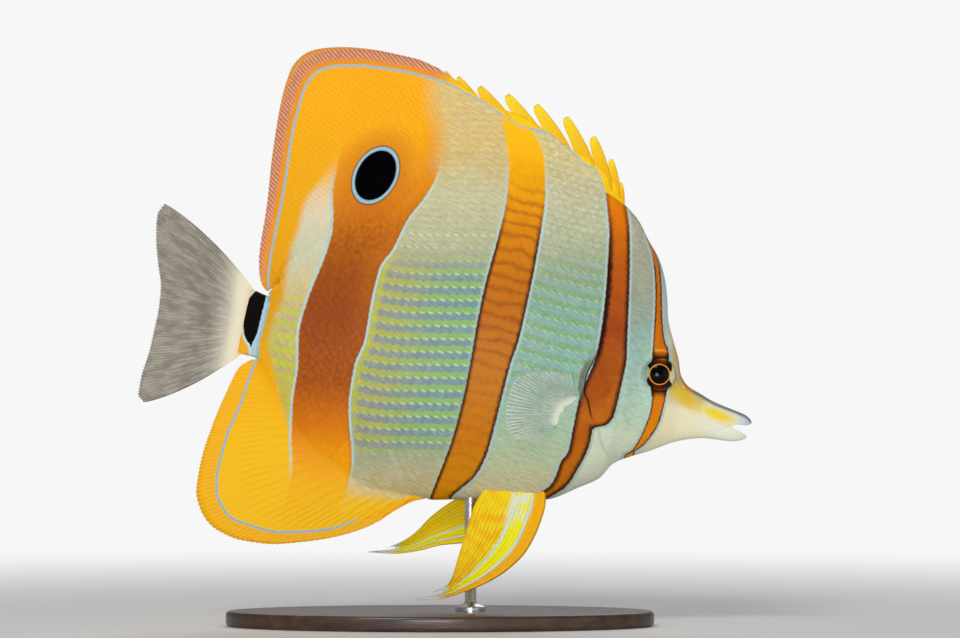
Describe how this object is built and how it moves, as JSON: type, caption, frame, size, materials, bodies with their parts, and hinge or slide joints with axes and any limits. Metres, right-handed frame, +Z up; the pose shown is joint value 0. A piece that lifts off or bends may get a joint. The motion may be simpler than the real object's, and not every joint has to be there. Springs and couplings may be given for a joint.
{
  "type": "copperband butterflyfish model",
  "caption": "Still life-size model of a copperband butterflyfish swimming nose down, with ridged fins, on an oval base with one rod.",
  "frame": {"origin": "middle of the stand base's underside", "axes": "+X towards the fish's head along the level, +Z up, +Y to the fish's left; the fish's own axis points 12 degrees below +X"},
  "size_m": [0.1603, 0.058, 0.1515],
  "materials": {
    "skin": "painted scales, wet gloss: cream with copper-orange bands",
    "jaw": "wet gloss, cream white",
    "eye": "clear gloss over a black pupil and a gold ring",
    "fin_yellow": "satin, bright yellow",
    "fin_orange": "satin, orange-yellow with a pale blue line",
    "fin_clear": "thin, clear membrane with pale rays",
    "stand_wood": "dark stained wood, satin varnish",
    "stand_steel": "brushed"
  },
  "bodies": {
    "root": {"head": "skin", "gill_cover_right": "skin", "gill_cover_left": "skin", "trunk": "skin", "tail_stalk": "skin", "upper_jaw": "jaw", "lower_jaw": "jaw", "eye_right": "eye", "eye_left": "eye", "dorsal_fin_spiny": "fin_yellow", "dorsal_fin_soft": "fin_orange", "anal_fin": "fin_orange", "caudal_fin": "fin_clear", "pectoral_fin_right": "fin_clear", "pectoral_fin_left": "fin_clear", "pelvic_fin_right": "fin_yellow", "pelvic_fin_left": "fin_yellow", "stand_base": "stand_wood", "stand_rod": "stand_steel"}
  },
  "joints": []
}
